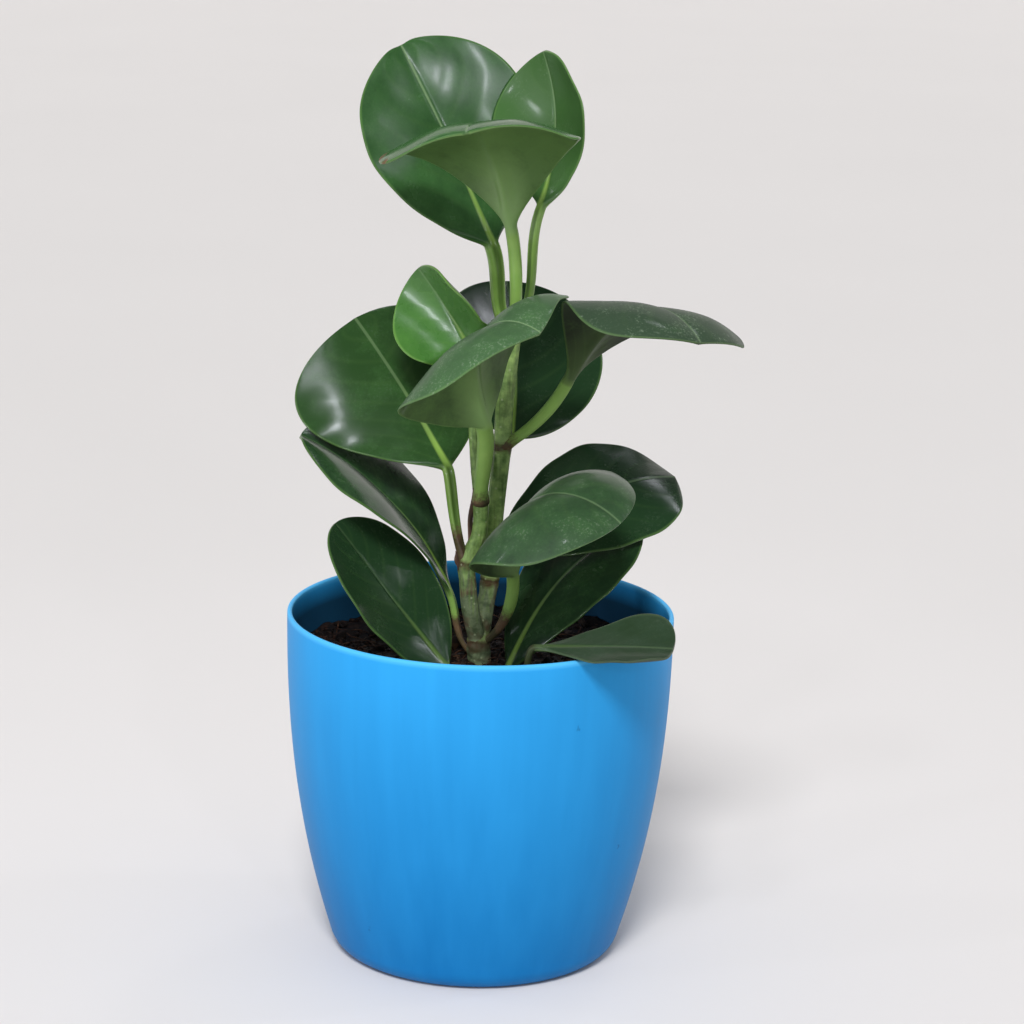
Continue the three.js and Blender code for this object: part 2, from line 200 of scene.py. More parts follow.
def polypropylene():
    """Satin polypropylene coloured in the mass: a blue with a soft broad highlight from the fine grain of the
    mould, faint upright flow marks and a few dark scuffs. It is painted darker lower down as shade, with a
    painted highlight along the rim and painted shade, with some soil dust, on the inner wall."""
    made, tree = blank("satin_polypropylene")
    place = add(tree, "TexCoord", out="Object")
    height = add(tree, "SeparateXYZ", place, out="Z")
    # Clouds of about 60 mm, and flow marks 7 mm wide and 110 mm tall.
    cloud = add(tree, "TexNoise", Vector=place, Scale=16, Detail=2)
    upright = add(tree, "Mapping", place, Scale=(150, 150, 9))
    flow = add(tree, "TexNoise", Vector=upright, Scale=1, Detail=3)
    uneven = add(tree, "Math", cloud, flow, operation="ADD")
    uneven = add(tree, "MapRange", uneven, 0.7, 1.3, -0.08, 0.08)
    # Painted shade: the pot is painted a little darker lower down and paler towards the rim, as light falls
    # from above. The clouds and flow marks added to it are the plastic's own uneven colour.
    pale = add(tree, "MapRange", height, 0, POT_HEIGHT * MM, 0.1, 0.9)
    pale = add(tree, "Math", uneven, pale, operation="ADD")
    # A painted highlight along the rounded lip, over its top 2.2 mm.
    painted_rim_highlight = add(tree, "MapRange", height, (POT_HEIGHT - 2.2) * MM, (POT_HEIGHT - 0.8) * MM, 0, 0.6)
    # Scuffs about 2 mm long, on one in every few cells of 25 mm.
    warp = add(tree, "TexNoise", out="Color", Vector=place, Scale=420, Detail=2)
    bent = add(tree, "Mix", Factor_Float=0.006, A_Color=place, B_Color=warp, **COLOUR)
    scuff = add(tree, "TexVoronoi", out="Distance", Vector=bent, Scale=1 / (25 * MM))
    scuff = add(tree, "MapRange", scuff, 0.018, 0.05, 0.55, 0)
    # Painted shade: the inner wall, which is the only face turned to the pot's axis, is painted dark, with
    # some damp soil dust clinging to it. It thins out over the last 8 mm below the lip.
    facing = add(tree, "NewGeometry", out="Normal")
    outward = add(tree, "VectorMath", facing, place, out="Value", operation="DOT_PRODUCT")
    dusty = add(tree, "MapRange", cloud, 0.3, 0.7, 0.76, 0.94)
    dusty = add(tree, "MapRange", outward, 0.004, -0.004, 0, dusty)
    dusty = add(tree, "MapRange", height, (POT_HEIGHT - 1) * MM, (POT_HEIGHT - 9) * MM, 0, dusty)
    blue = "#086aaa"
    # The coats: the plastic's uneven tone with painted shade by height, the painted rim highlight, the
    # scuffs, and the inner wall's painted shade with some soil dust.
    for share, colour in ((pale, "#2f9ee1"), (painted_rim_highlight, "#5cc0f4"), (scuff, "#0e4c86"), (dusty, "#14222c")):
        blue = add(tree, "Mix", Factor_Float=share, A_Color=blue, B_Color=colour, **COLOUR)
    # The mould's grain is about 0.4 mm, drawn at 0.9 mm so that it shows.
    grain = add(tree, "TexNoise", Vector=place, Scale=1 / (0.9 * MM), Detail=2)
    relief = add(tree, "Bump", out="Normal", Strength=0.25, Distance=0.06 * MM, Height=grain)
    rough = add(tree, "MapRange", flow, 0.3, 0.7, 0.43, 0.47)
    shader = add(tree, "BsdfPrincipled", Base_Color=blue, Roughness=rough, IOR=1.49,
                 Specular_IOR_Level=0.09, Normal=relief)
    add(tree, "OutputMaterial", Surface=shader)
    return made


piece("pot_moulding", *lathe(pot_profile(), POT_SIDES), polypropylene(), "pot_plastic", "pot")

# ---- soil ----
# Dark, damp peat soil, filled in loose and pressed down round the stalks by hand. On its uneven crust lie
# crumbs, strands of coconut fibre and a few chips of bark.

SOIL_TOP = POT_HEIGHT - 17.5
GAP = 0.3
CRUMB_REACH = 65.5
FIBRE_REACH = 58
chance = np.random.default_rng(11)


def soil_height(x, y):
    """Height of the crust, with the slow rise and fall left by pressing it down."""
    return SOIL_TOP + 0.9 * (np.sin(x / 7 + 1) * np.cos(y / 9) + 0.6 * np.sin((x + 2 * y) / 11))


def soil_bed():
    """The whole fill of soil, clear of the pot by a small gap, with clods of about 6 mm on its crust."""
    room = WALL + GAP
    reach = side_radius(SOIL_TOP) - room
    wall = heel_curve(room, FLOOR + GAP, 4) + side_curve(room, SOIL_TOP, 8)
    crust = [(reach * share, SOIL_TOP) for share in np.linspace(0.985, 0, 60)]
    points, faces = lathe([(0, FLOOR + GAP)] + wall + crust, 240)
    for i, (x, y, z) in enumerate(points):
        if z > SOIL_TOP - 0.01:
            clods = noise.fractal(Vector((x, y, 3)) / 6, 0.7, 2, 4)
            points[i] = (x, y, soil_height(x, y) - 0.2 + 1.1 * clods)
    return points, faces


def merged(parts):
    """Several (points, faces) as one."""
    points, faces = [], []
    for some, corners in parts:
        faces += [[len(points) + c for c in face] for face in corners]
        points += [tuple(p) for p in some]
    return points, faces


def lump(size):
    """A worn, uneven crumb of about the given half-sizes, turned at random."""
    steps, sides = 6, 8
    arc = np.linspace(0, math.pi, steps + 1)[1:-1]
    profile = [(0, -1)] + [(math.sin(t), -math.cos(t)) for t in arc] + [(0, 1)]
    points, faces = lathe(profile, sides)
    points = np.array(points)
    for _ in range(3):
        wave = chance.normal(size=3) * 2.2
        points *= 1 + 0.13 * np.sin(points @ wave + chance.uniform(0, 6))[:, None]
    turn = np.array(Vector(chance.normal(size=4)).to_4d().normalized())
    spin = np.array(Matrix.Rotation(turn[0] * 6, 3, Vector(turn[1:])))
    return (points * size) @ spin.T, faces


def strewn(count, half_sizes, sink):
    """Crumbs spread over the crust, each sunk into it by a share of its size."""
    parts = []
    for _ in range(count):
        r = CRUMB_REACH * math.sqrt(chance.uniform())
        a = chance.uniform(0, 2 * math.pi)
        x, y = r * math.cos(a), r * math.sin(a)
        size = chance.uniform(0.7, 1.3) * chance.permutation(half_sizes) * math.exp(0.35 * chance.normal())
        points, faces = lump(size)
        parts.append((points + [x, y, soil_height(x, y) - sink * size.min()], faces))
    return merged(parts)


def sweep(centres, radii, sides, flat=1, side=(1, 0, 0)):
    """A closed tube along a line of points, `flat` times as thick across as it is wide along `side`."""
    centres = np.asarray(centres, float)
    tangents = np.gradient(centres, axis=0)
    side = np.array(side, float)
    points, faces = [], []
    turn = np.arange(sides) * 2 * math.pi / sides
    for centre, along, r in zip(centres, tangents, radii):
        along = along / np.linalg.norm(along)
        side = side - along * side.dot(along)
        side /= np.linalg.norm(side)
        across = np.cross(along, side)
        points += list(centre + r * (np.outer(np.cos(turn), side) + flat * np.outer(np.sin(turn), across)))
    for i in range(len(centres) - 1):
        for j in range(sides):
            k = (j + 1) % sides
            faces.append([i * sides + j, i * sides + k, (i + 1) * sides + k, (i + 1) * sides + j])
    faces.append(list(range(sides))[::-1])
    faces.append(list(range(len(points) - sides, len(points))))
    return points, faces


def fibres(count):
    """Strands that wind over the crust, and dip into it at both ends."""
    parts = []
    for _ in range(count):
        length, heading = chance.uniform(8, 24), chance.uniform(0, 2 * math.pi)
        r, a = FIBRE_REACH * math.sqrt(chance.uniform()), chance.uniform(0, 2 * math.pi)
        bend, thick = chance.normal(0, 1.4), chance.uniform(0.14, 0.32)
        x, y, line = r * math.cos(a), r * math.sin(a), []
        for t in np.linspace(0, 1, 12):
            rise = 2.4 * math.sin(math.pi * t) - 0.7
            if math.hypot(x, y) < CRUMB_REACH - 0.5:
                line.append((x, y, soil_height(x, y) + rise))
            x += length / 11 * math.cos(heading + bend * t)
            y += length / 11 * math.sin(heading + bend * t)
        if len(line) > 3:
            radii = thick * np.sin(np.linspace(0.5, math.pi - 0.3, len(line)))
            parts.append(sweep(line, radii, 5, side=(0.1, 0.2, 1)))
    return merged(parts)


def peat(name, deep, pale, flecks):
    """Bits of potting soil, matt and crumbly: dark where damp and pale where dry, with flecks in them."""
    made, tree = blank(name)
    place = add(tree, "TexCoord", out="Object")
    # Clods of about 4 mm, and flecks of 1.4 by 0.5 mm.
    clods = add(tree, "TexNoise", Vector=place, Scale=260, Detail=4, Roughness=0.7)
    dry = add(tree, "MapRange", clods, 0.42, 0.68)
    strands = add(tree, "Mapping", place, Scale=(1, 2.6, 1))
    bits = add(tree, "TexVoronoi", out="Color", Vector=strands, Scale=700)
    bits = add(tree, "MapRange", bits, 0.72, 0.78, 0, 0.75)
    tone = deep
    for share, colour in ((dry, pale), (bits, flecks)):
        tone = add(tree, "Mix", Factor_Float=share, A_Color=tone, B_Color=colour, **COLOUR)
    relief = add(tree, "Bump", out="Normal", Strength=0.9, Distance=0.5 * MM, Height=clods)
    damp = add(tree, "MapRange", dry, 0, 1, 0.72, 0.95)
    shader = add(tree, "BsdfPrincipled", Base_Color=tone, Roughness=damp, IOR=1.4, Normal=relief)
    add(tree, "OutputMaterial", Surface=shader)
    return made


DAMP_PEAT = peat("damp_peat", "#0d0908", "#201714", "#35221a")
DRIED_PEAT = peat("dried_peat", "#16100d", "#35281f", "#45301f")
PINE_BARK = peat("pine_bark", "#22150f", "#43291c", "#1c100c")
COCONUT_FIBRE = peat("coconut_fibre", "#2c1a12", "#4d3222", "#5f4430")
piece("soil_bed", *soil_bed(), DAMP_PEAT, "soil", "soil")
piece("soil_crumbs", *strewn(900, [1.5, 1.1, 0.9], 0.3), DAMP_PEAT, "soil")
piece("soil_dry_crumbs", *strewn(170, [2.1, 1.6, 1.1], 0.2), DRIED_PEAT, "soil")
piece("soil_bark", *strewn(26, [4.2, 2.4, 0.8], -0.2), PINE_BARK, "soil")
piece("soil_fibres", *fibres(120), COCONUT_FIBRE, "soil")

# ---- stem ----
# One fleshy stem, forked just above the soil. Each leaf stood or stands at a joint, a swelling with a corky
# brown ring scar; the bark is olive, browner and rougher towards the soil, and paler above each joint.

FORK = (-0.5, -4, 115)
LEFT_JOINT = (-5.4, -8, 146)
CENTRE_JOINT = (-1, -8, 169)
LEFT_TIP = (-4, -4, 207)
BACK_JOINT = (3, 2, 137)
RIGHT_JOINT = (6.5, 4, 187)
CROWN = (9, 4, 228)
SKIN_GRAIN = 0.45

STEMS = [
    dict(
        through=[(1, -4, 84), (0.5, -4, 104), FORK, (1.5, 0, 127), BACK_JOINT, (4.5, 4, 163), RIGHT_JOINT,
                 (6.8, 4, 200), (8.2, 4, 218), CROWN, (9.3, 4, 231)],
        joints=[FORK, BACK_JOINT, RIGHT_JOINT, CROWN], taper=(110, 4.2, 132, 3.2),
    ),
    dict(
        through=[FORK, (-3.6, -7, 128), (-5, -8, 140), LEFT_JOINT, (-1.3, -8, 157), CENTRE_JOINT,
                 (-2.4, -5.5, 180), (-3.6, -4, 194), LEFT_TIP],
        joints=[LEFT_JOINT, CENTRE_JOINT, LEFT_TIP], taper=(126, 3.2, 199, 2.1),
    ),
]


def spline(through, steps):
    """A smooth line through points, `steps` points to each span."""
    knots = np.array(through, float)
    knots = np.vstack([2 * knots[0] - knots[1], knots, 2 * knots[-1] - knots[-2]])
    gaps = np.linalg.norm(np.diff(knots, axis=0), axis=1) ** 0.5
    line = []
    for i in range(1, len(knots) - 2):
        before, a, b, after = knots[i - 1:i + 3]
        near, span, far = gaps[i - 1:i + 2]
        leave = span * ((a - before) / near - (b - before) / (near + span) + (b - a) / span)
        reach = span * ((b - a) / span - (after - a) / (span + far) + (after - b) / far)
        for t in np.arange(steps) / steps:
            line.append(a + leave * t + (3 * (b - a) - 2 * leave - reach) * t * t
                        + (2 * (a - b) + leave + reach) * t ** 3)
    return np.array(line + [knots[-2]])


def smooth(value, low, high):
    """A smooth step from 0 at `low` to 1 at `high`."""
    t = np.clip((value - low) / (high - low), 0, 1)
    return t * t * (3 - 2 * t)


def stem_line(stem):
    """The middle line of a stem, its radius, and how far each point is past its nearest joint."""
    line = spline(stem["through"], 24)
    low, wide, high, narrow = stem["taper"]
    radii = wide + (narrow - wide) * smooth(line[:, 2], low, high)
    run = np.concatenate([[0], np.cumsum(np.linalg.norm(np.diff(line, axis=0), axis=1))])
    past = np.full(len(line), 99.0)
    for joint in stem["joints"]:
        away = np.linalg.norm(line - joint, axis=1)
        radii += 0.35 * np.exp(-(away / 3) ** 2)
        here = run - run[away.argmin()]
        past = np.where(abs(here) < abs(past), here, past)
    return line, radii, past


def attribute(made, name, values):
    """Stores a value, or three, on each point of a mesh for its material."""
    values = np.asarray(values, float)
    kind, key = ("FLOAT", "value") if values.ndim == 1 else ("FLOAT_VECTOR", "vector")
    made.data.attributes.new(name, kind, "POINT").data.foreach_set(key, values.ravel())


def fused(points, faces, grain):
    """Overlapping tubes as one closed skin, on a grid of the given size."""
    mesh = bpy.data.meshes.new("rough")
    mesh.from_pydata((np.asarray(points) * MM).tolist(), [], faces)
    rough = bpy.data.objects.new("rough", mesh)
    SCENE.collection.objects.link(rough)
    remesh = rough.modifiers.new("fuse", "REMESH")
    remesh.mode, remesh.voxel_size = "VOXEL", grain * MM
    relax = rough.modifiers.new("relax", "SMOOTH")
    relax.factor, relax.iterations = 0.5, 8
    skin = rough.evaluated_get(bpy.context.evaluated_depsgraph_get()).to_mesh()
    points = [tuple(v.co / MM) for v in skin.vertices]
    faces = [list(p.vertices) for p in skin.polygons]
    bpy.data.objects.remove(rough)
    return np.array(points), faces


def stem_skin():
    """The stem's tubes as one skin, with its ribs, ring scars and cork, and how far each point of it is
    past its nearest joint."""
    lines = [stem_line(stem) for stem in STEMS]
    tubes = merged([sweep(line, radii, 32) for line, radii, past in lines])
    points, faces = fused(*tubes, SKIN_GRAIN)
    line = np.vstack([line for line, radii, past in lines])
    past = np.concatenate([past for line, radii, past in lines])
    radii = np.concatenate([radii for line, radii, past in lines])
    nearest = [int((np.linalg.norm(line - p, axis=1) - radii).argmin()) for p in points]
    past, out = past[nearest], points - line[nearest]
    out[:, 2] = 0
    out /= np.maximum(np.linalg.norm(out, axis=1), 1e-6)[:, None]
    angle = np.arctan2(out[:, 1], out[:, 0])
    ribs = 0.1 * np.cos(5 * angle + points[:, 2] / 40) + 0.05 * np.cos(13 * angle)
    scar = 0.1 * np.exp(-((past - 0.9) / 0.6) ** 2) - 0.18 * np.exp(-(past / 0.45) ** 2)
    cork = 0.12 * np.sin(points[:, 2] * 2.1 + 3 * angle) * smooth(-points[:, 2], -122, -108)
    return points + out * (ribs + scar + cork)[:, None], faces, past


def bark():
    """The stem's skin: satin and fleshy, olive green, with brown ring scars at the joints. The lower stem is
    older and corky, grey-brown with red-brown stains and pale breathing pores."""
    made, tree = blank("stem_skin")
    place = add(tree, "TexCoord", out="Object")
    height = add(tree, "SeparateXYZ", place, out="Z")
    past = add(tree, "Attribute", attribute_name="past_joint", out="Fac")
    # Mottling of 3 mm, patches of 8 mm, and streaks 1 mm wide and 17 mm long.
    mottle = add(tree, "TexNoise", Vector=place, Scale=330, Detail=4, Roughness=0.6)
    patches = add(tree, "TexNoise", Vector=place, Scale=130, Detail=2)
    streaks = add(tree, "Mapping", place, Scale=(900, 900, 60))
    streaks = add(tree, "TexNoise", Vector=streaks, Scale=1, Detail=2)
    pale = add(tree, "MapRange", mottle, 0.3, 0.7)
    dark = add(tree, "MapRange", streaks, 0.55, 0.7, 0, 0.35)
    # Cork has spread up to about 25 mm past the fork, in streaks.
    cork = add(tree, "MapRange", streaks, 0.3, 0.7, -14 * MM, 14 * MM)
    cork = add(tree, "Math", height, cork, operation="ADD")
    cork = add(tree, "MapRange", cork, 154 * MM, 132 * MM, 0, 0.72)
    worn = add(tree, "MapRange", mottle, 0.35, 0.6)
    worn = add(tree, "Mix", Factor_Float=worn, A_Color="#383a35", B_Color="#61655a", **COLOUR)
    stain = add(tree, "MapRange", patches, 0.54, 0.68, 0, cork)
    # A joint's band of soft new skin is 5 mm long, above its scar.
    fresh = add(tree, "MapRange", past, 5, 2.5, 0, 0.6)
    fresh = add(tree, "MapRange", past, 0, 1, 0, fresh)
    broken = add(tree, "MapRange", patches, 0.3, 0.7, -0.6, 1.6)
    scar = add(tree, "Math", past, operation="ABSOLUTE")
    scar = add(tree, "Math", scar, broken, operation="ADD")
    depth = add(tree, "MapRange", mottle, 0.35, 0.6, 0.5, 0.95)
    scar = add(tree, "MapRange", scar, 2.6, 1.2, 0, depth)
    # Pores about 1 mm wide, one to every 3 mm or so.
    pores = add(tree, "TexVoronoi", Vector=place, Scale=300)
    pores = add(tree, "MapRange", pores, 0.16, 0.08, 0, 0.5)
    tone = "#516f37"
    for share, colour in ((pale, "#8fac61"), (dark, "#34401d"), (cork, worn), (stain, "#5a352b"),
                          (fresh, "#849f5c"), (scar, "#44301f"), (pores, "#a9b38f")):
        tone = add(tree, "Mix", Factor_Float=share, A_Color=tone, B_Color=colour, **COLOUR)
    relief = add(tree, "Bump", out="Normal", Strength=0.5, Distance=0.2 * MM, Height=mottle)
    rough = add(tree, "MapRange", mottle, 0.3, 0.7, 0.42, 0.62)
    shader = add(tree, "BsdfPrincipled", Base_Color=tone, Roughness=rough, IOR=1.42, Normal=relief)
    add(tree, "OutputMaterial", Surface=shader)
    return made


BARK = bark()
stem_points, stem_faces, stem_past = stem_skin()
attribute(piece("stem_skin", stem_points, stem_faces, BARK, "stem", "stem"), "past_joint", stem_past)


def bud(foot, tip, wide):
    """A closed bud, a spindle from the end of a stem."""
    foot, tip = np.array(foot, float), np.array(tip, float)
    shares = np.linspace(0, 1, 14)
    line = foot + np.outer(shares, tip - foot) + np.outer(np.sin(shares * math.pi) * 0.3, (1, 0, 0))
    return sweep(line, wide * np.sin(0.5 + shares * (math.pi - 0.52)) ** 0.8, 16, flat=0.8)


def bract(low, high, wide):
    """A dead leaf scale, a dry curled strip pressed to the stem."""
    low, high = np.array(low, float), np.array(high, float)
    shares = np.linspace(0, 1, 20)
    line = low + np.outer(shares, high - low) + np.outer(np.sin(shares * 9) * 0.25, (1, 0.4, 0))
    return sweep(line, wide * np.sin(0.25 + shares * 2.7) ** 0.6, 10, flat=0.4, side=(1, 0.4, 0))


def withered():
    """Dead, papery plant skin, dark brown with paler streaks."""
    made, tree = blank("dry_bract")
    place = add(tree, "TexCoord", out="Object")
    # Streaks 1 mm wide and 8 mm long.
    streaks = add(tree, "Mapping", place, Scale=(900, 900, 120))
    streaks = add(tree, "TexNoise", Vector=streaks, Scale=1, Detail=3)
    pale = add(tree, "MapRange", streaks, 0.35, 0.65)
    tone = add(tree, "Mix", Factor_Float=pale, A_Color="#2e211a", B_Color="#6b5140", **COLOUR)
    relief = add(tree, "Bump", out="Normal", Strength=0.5, Distance=0.15 * MM, Height=streaks)
    shader = add(tree, "BsdfPrincipled", Base_Color=tone, Roughness=0.75, Normal=relief)
    add(tree, "OutputMaterial", Surface=shader)
    return made


BUDS = [bud((9.3, 4, 229), (9.9, 4.2, 239), 1.5), bud((-4.2, -4, 205), (-5, -3.4, 212), 1.2)]
bud_points, bud_faces = merged(BUDS)
# The buds' skin is as fresh as the stem's is 3 mm above a joint.
attribute(piece("buds", bud_points, bud_faces, BARK, "stem"), "past_joint", np.full(len(bud_points), 3.0))
BRACTS = [bract((-4.9, -8.2, 151), (-3.5, -8.4, 174), 1), bract((-8.2, -9.4, 144), (-9.4, -9.6, 151), 0.9)]
piece("dry_bracts", *merged(BRACTS), withered(), "stem")

# ---- leaves ----
# Thick, waxy leaves, each a grooved petiole that runs into the midrib of a round blade. They are dark and
# glossy above, paler and duller below, with a pale midrib, faint side veins and a thick pale margin.

BLADE_THICK = 1.4
EDGE_THICK = 0.8
EDGE_ROUND = 0.75
PETIOLE_RADIUS = 2.1
BLADE_RINGS = 100
PETIOLE_RINGS = 24
HALF_STEPS = 32
SIDE_VEINS = 7
VEIN_SLANT = 0.42
VEIN_BEND = 1.3
# Sizes are in millimetres and turns in degrees. Heading, rise and roll aim the blade at its start. Droop,
# side and twist turn it along its length, and curl moves the droop towards the tip. Fold and cup bend it
# across, and base and tip shape its outline. Reach and ease set the petiole's curve, and stalk and slim how
# thick it is. A dry patch has a share of the length, a share of the half width and a size. Light is partly
# the leaf's own depth of green and partly painted light and shade, low for a leaf that lies in shade. The
# rest is colour.
LEAF_DEFAULTS = dict(
    droop=0, curl=0, side=0, twist=0, fold=4, cup=5, cup_tip=0, base=1.05, tip=0.5, notch=0, wave=0.2,
    reach=0.4, ease=0.35, stalk=2.1, slim=0.85,
    dry=(), light=0.4, yellow=0.1, dust=0.12, rib=0.3, rib_foot=0.85, foot_brown=0.1,
)


def half_width(leaf, u):
    """Half the blade's width at a share u of its length."""
    widest = leaf["base"] / (leaf["base"] + leaf["tip"])
    top = widest ** leaf["base"] * (1 - widest) ** leaf["tip"]
    return leaf["width"] / 2 * u ** leaf["base"] * (1 - u) ** leaf["tip"] / top


def turned(vector, axis, angle):
    """A vector turned about an axis."""
    return Matrix.Rotation(angle, 3, axis) @ vector


def blade_frames(leaf, shares):
    """The midrib's point and directions (along, side) at each share of its length."""
    heading, rise, roll = (math.radians(leaf[key]) for key in ("heading", "rise", "roll"))
    along = Vector((math.cos(rise) * math.cos(heading), math.cos(rise) * math.sin(heading), math.sin(rise)))
    side = turned(Vector((-math.sin(heading), math.cos(heading), 0)), along, roll)
    point = Vector(leaf["start"])
    frames = [(point, along, side)]
    for low, high in zip(shares, shares[1:]):
        du = high - low
        bend = math.radians(leaf["droop"]) * du * max(0, 1 + 1.6 * leaf["curl"] * (low + high - 1))
        for half in (0, 1):
            along = turned(along, side, bend / 2).normalized()
            along = turned(along, along.cross(side), math.radians(leaf["side"]) * du / 2)
            side = turned(along.cross(side).cross(along), along, math.radians(leaf["twist"]) * du / 2)
            side.normalize()
            if half == 0:
                point = point + along * leaf["length"] * du
        frames.append((point, along, side))
    return frames


def petiole_frames(leaf, first):
    """The petiole's frames, from its foot to just before the blade, turning as little as it can."""
    start, along, side = first
    foot = Vector(leaf["foot"])
    span = (foot - start).length
    ends = [foot, foot + Vector(leaf["leaves"]).normalized() * leaf["reach"] * span,
            start - along * leaf["ease"] * span, start]
    frames = []
    for i in range(PETIOLE_RINGS - 1, -1, -1):
        t = i / PETIOLE_RINGS
        s = 1 - t
        point = ends[0] * s ** 3 + ends[1] * 3 * s * s * t + ends[2] * 3 * s * t * t + ends[3] * t ** 3
        along = (ends[1] - ends[0]) * s * s + (ends[2] - ends[1]) * 2 * s * t + (ends[3] - ends[2]) * t * t
        along.normalize()
        side = (side - along * side.dot(along)).normalized()
        frames.insert(0, (point, along, side))
    return frames


def leaf_ring(leaf, frame, u, stalk_share, waves):
    """One closed ring round the leaf: over the upper face, back under it. `stalk_share` is 0 at the foot of
    the petiole and 1 on the blade. Also the ring's marks: where each point is on the leaf."""
    point, along, side = (np.array(v) for v in frame)
    up = np.cross(along, side)
    grown = smooth(u, -0.02, 0.2) if stalk_share >= 1 else 0.0
    slim = leaf["slim"] + (1 - leaf["slim"]) * smooth(stalk_share, 0.1, 0.7)
    stalk = leaf["stalk"] * (1 - u) ** 1.5 * slim * (1 + 0.3 * math.exp(-(stalk_share / 0.08) ** 2))
    half = max(math.hypot(stalk, half_width(leaf, u)), 0.25)
    steps = np.arange(HALF_STEPS, -HALF_STEPS - 1, -1) / HALF_STEPS
    steps = np.sign(steps) * (abs(steps) - 0.7 * np.sin(2 * math.pi * abs(steps)) / (2 * math.pi))
    s = np.concatenate([steps, steps[::-1]])
    face = np.repeat([1, -1], len(steps))
    size = abs(s)
    reach = half * ((1 - grown) * np.sin(size * math.pi / 2) + grown * size)
    fold = math.radians(leaf["fold"]) * grown
    bow = math.radians(leaf["cup"] + (leaf["cup_tip"] - leaf["cup"]) * u) * grown / (leaf["width"] / 2)
    turn = fold + bow * reach
    if abs(bow) < 1e-6:
        out, rise = reach * math.cos(fold), reach * math.sin(fold)
    else:
        out, rise = (np.sin(turn) - math.sin(fold)) / bow, (math.cos(fold) - np.cos(turn)) / bow
    crown = np.cos(size * math.pi / 2)
    edge = half - reach
    blade = (EDGE_THICK + (BLADE_THICK - EDGE_THICK) * crown) / 2
    blade *= np.sqrt(1 - (1 - np.clip(edge / EDGE_ROUND, 0.02, 1)) ** 2)
    keel = np.where(face < 0, 0.8 * stalk * np.exp(-(reach / PETIOLE_RADIUS) ** 2), 0)
    thick = np.maximum(stalk * crown * (1 - grown) + (blade + keel) * grown, 0.05)

    # The upper face is grooved along the petiole and midrib and over the side veins, and both bulge between.
    mm_along, mm_across = u * leaf["length"], np.sign(s) * reach
    vein_at = (u - VEIN_SLANT * size ** VEIN_BEND) * SIDE_VEINS
    vein = np.exp(-((vein_at - np.round(vein_at)) / 0.16) ** 2)
    vein *= smooth(size, 0.03, 0.2) * smooth(-size, -0.9, -0.6)
    channel = 0.28 * stalk * np.exp(-(s / 0.3) ** 2) * (1 - grown) * smooth(stalk_share, 0.1, 0.4)
    groove = 0.38 * np.exp(-(reach / 0.8) ** 2) * grown * (1 - u) ** 0.6
    thick -= np.where(face > 0, channel + groove + 0.035 * vein * grown, -0.03 * vein * grown)
    lift = sum(0.09 * np.sin(mm_along * a + mm_across * b + c) for a, b, c in waves[:3]) * (1 - size ** 4)
    ripple = size ** 4 * sum(np.sin(mm_along * a + np.sign(s) * c) for a, b, c in waves[3:]) * leaf["wave"]
    lift = (lift + ripple * smooth(half, 3, 12)) * grown + face * np.maximum(thick, 0.05)
    if leaf["notch"]:
        point = point - np.outer(leaf["notch"] * smooth(u, 0.86, 1) * np.exp(-(reach / 3.5) ** 2), along)
    ring = (point + np.outer(np.sign(s) * (out - lift * np.sin(turn)), side)
            + np.outer(rise + lift * np.cos(turn), up))
    dry = np.zeros(len(s))
    for du, ds, wide in leaf["dry"]:
        away = np.hypot((u - du) * leaf["length"], mm_across - ds * half)
        dry = np.maximum(dry, smooth(-away, -wide, -0.5 * wide) * grown)
    along_leaf = u if stalk_share >= 1 else stalk_share - 1
    marks = np.stack([np.full(len(s), along_leaf), s, face], axis=1)
    sizes = np.stack([reach, edge, dry], axis=1)
    return ring, marks, sizes


def leaf_skin(leaf, waves):
    """A whole leaf's points and faces, and the marks and sizes that its finish reads."""
    shares = (1 - np.cos(math.pi * np.arange(BLADE_RINGS + 1) / BLADE_RINGS)) / 2
    blade = blade_frames(leaf, shares)
    stalk = petiole_frames(leaf, blade[0])
    rings = [leaf_ring(leaf, frame, 0, i / PETIOLE_RINGS, waves) for i, frame in enumerate(stalk)]
    rings += [leaf_ring(leaf, frame, min(u, 0.9998), 1, waves) for frame, u in zip(blade, shares)]
    points, marks, sizes = (np.concatenate(parts) for parts in zip(*rings))
    count, last = len(rings[0][0]), len(rings) - 1
    faces = []
    for i in range(last):
        for j in range(count):
            k = (j + 1) % count
            faces.append([i * count + j, i * count + k, (i + 1) * count + k, (i + 1) * count + j])
    faces.append(list(range(count))[::-1])
    faces.append(list(range(last * count, (last + 1) * count)))
    return points, faces, marks, sizes


